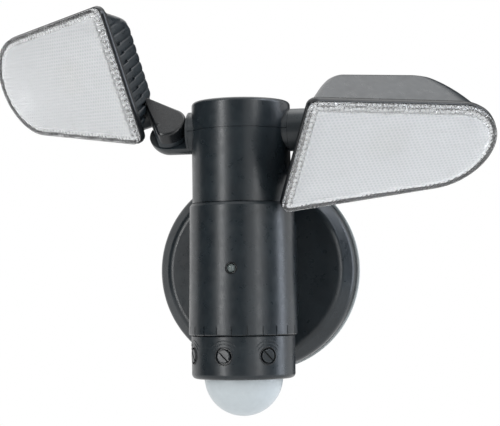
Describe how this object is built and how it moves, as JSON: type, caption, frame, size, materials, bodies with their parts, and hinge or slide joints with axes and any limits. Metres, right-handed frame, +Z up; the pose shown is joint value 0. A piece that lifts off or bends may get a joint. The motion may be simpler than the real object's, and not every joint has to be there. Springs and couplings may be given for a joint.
{
  "type": "motion sensor security light",
  "caption": "Wall-mounted security light: round column on a round base, lamp heads on jointed arms with ribbed housings and clear prismatic lenses, and a turning detector with adjusting dials.",
  "frame": {"origin": "centre of the wall side of the base, on the wall's surface", "axes": "+Z up the column, +Y into the wall, +X to the right as seen from the front"},
  "size_m": [0.3282, 0.1385, 0.2501],
  "materials": {
    "moulded_plastic": "satin slate-grey moulding with a fine grain",
    "bezel_plastic": "smooth black moulding",
    "dial_plastic": "smooth dark moulding",
    "clear_plastic": "clear prismatic plastic",
    "dome_plastic": "translucent pale moulding",
    "bright_aluminium": "bright vacuum-metallised",
    "board_aluminium": "white solder mask on aluminium",
    "led_phosphor": "yellow phosphor",
    "screw_steel": "zinc plated",
    "spring_steel": "plain",
    "can_steel": "tinned",
    "black_rubber": "matt",
    "foam_seal": "light-grey closed-cell foam",
    "terminal_plastic": "natural moulding",
    "board_laminate": "green solder mask",
    "component_plastic": "dark component bodies"
  },
  "bodies": {
    "column": {"wall_plate": "moulded_plastic", "wall_gasket": "foam_seal", "plate_screws": "screw_steel", "cable_grommet": "black_rubber", "terminal_block": "terminal_plastic", "terminal_screws": "screw_steel", "column_body": "moulded_plastic", "column_sleeve": "moulded_plastic", "top_cap": "moulded_plastic", "cap_screws": "screw_steel", "indicator_lens": "clear_plastic", "control_board": "board_laminate", "board_parts": "component_plastic"},
    "sensor": {"sensor_collar": "moulded_plastic", "trimmer_pots": "component_plastic", "sensor_ring": "spring_steel", "collar_seal": "black_rubber", "pir_board": "board_laminate", "pir_sensor": "can_steel", "pir_dome": "dome_plastic"},
    "range_dial": {"range_dial": "dial_plastic"},
    "light_dial": {"light_dial": "dial_plastic"},
    "time_dial": {"time_dial": "dial_plastic"},
    "right_swivel": {"right_swivel": "moulded_plastic", "right_swivel_ring": "component_plastic", "right_knuckle_bolt": "screw_steel"},
    "right_arm": {"right_arm": "moulded_plastic"},
    "right_head": {"right_housing": "moulded_plastic", "right_bezel": "bezel_plastic", "right_lens": "clear_plastic", "right_lens_seal": "black_rubber", "right_reflector": "bright_aluminium", "right_led_board": "board_aluminium", "right_leds": "led_phosphor", "right_head_stud": "screw_steel"},
    "left_swivel": {"left_swivel": "moulded_plastic", "left_swivel_ring": "component_plastic", "left_knuckle_bolt": "screw_steel"},
    "left_arm": {"left_arm": "moulded_plastic"},
    "left_head": {"left_housing": "moulded_plastic", "left_bezel": "bezel_plastic", "left_lens": "clear_plastic", "left_lens_seal": "black_rubber", "left_reflector": "bright_aluminium", "left_led_board": "board_aluminium", "left_leds": "led_phosphor", "left_head_stud": "screw_steel"}
  },
  "joints": [
    {"name": "sensor_turn", "type": "hinge", "parent": "column", "child": "sensor", "pos_m": [0, -0.057, -0.0435], "axis": [0, 0, 1], "range_deg": [-60, 80]},
    {"name": "range_dial_turn", "type": "hinge", "parent": "sensor", "child": "range_dial", "pos_m": [-0.02338, -0.0705, -0.0523], "axis": [-0.866, -0.5, 0], "range_deg": [-135, 135]},
    {"name": "light_dial_turn", "type": "hinge", "parent": "sensor", "child": "light_dial", "pos_m": [-0.00469, -0.08359, -0.0523], "axis": [-0.1736, -0.9848, 0], "range_deg": [-135, 135]},
    {"name": "time_dial_turn", "type": "hinge", "parent": "sensor", "child": "time_dial", "pos_m": [0.01736, -0.07768, -0.0523], "axis": [0.6428, -0.766, 0], "range_deg": [-135, 135]},
    {"name": "right_swivel_turn", "type": "hinge", "parent": "column", "child": "right_swivel", "pos_m": [0.038, -0.057, 0.0845], "axis": [1, 0, 0], "range_deg": [-90, 0]},
    {"name": "right_arm_bend", "type": "hinge", "parent": "right_swivel", "child": "right_arm", "pos_m": [0.045, -0.057, 0.0845], "axis": [0, -0.9693, 0.2458], "range_deg": [0, 45]},
    {"name": "right_head_turn", "type": "hinge", "parent": "right_arm", "child": "right_head", "pos_m": [0.04432, -0.06388, 0.05737], "axis": [0.8049, -0.1459, -0.5752], "range_deg": [-24, 0]},
    {"name": "left_swivel_turn", "type": "hinge", "parent": "column", "child": "left_swivel", "pos_m": [-0.038, -0.057, 0.0845], "axis": [1, 0, 0], "range_deg": [0, 90]},
    {"name": "left_arm_bend", "type": "hinge", "parent": "left_swivel", "child": "left_arm", "pos_m": [-0.045, -0.057, 0.0845], "axis": [0, 0.7713, -0.6365], "range_deg": [-45, 0]},
    {"name": "left_head_turn", "type": "hinge", "parent": "left_arm", "child": "left_head", "pos_m": [-0.06886, -0.04768, 0.0958], "axis": [0.9174, 0.2533, 0.3069], "range_deg": [0, 10]}
  ]
}
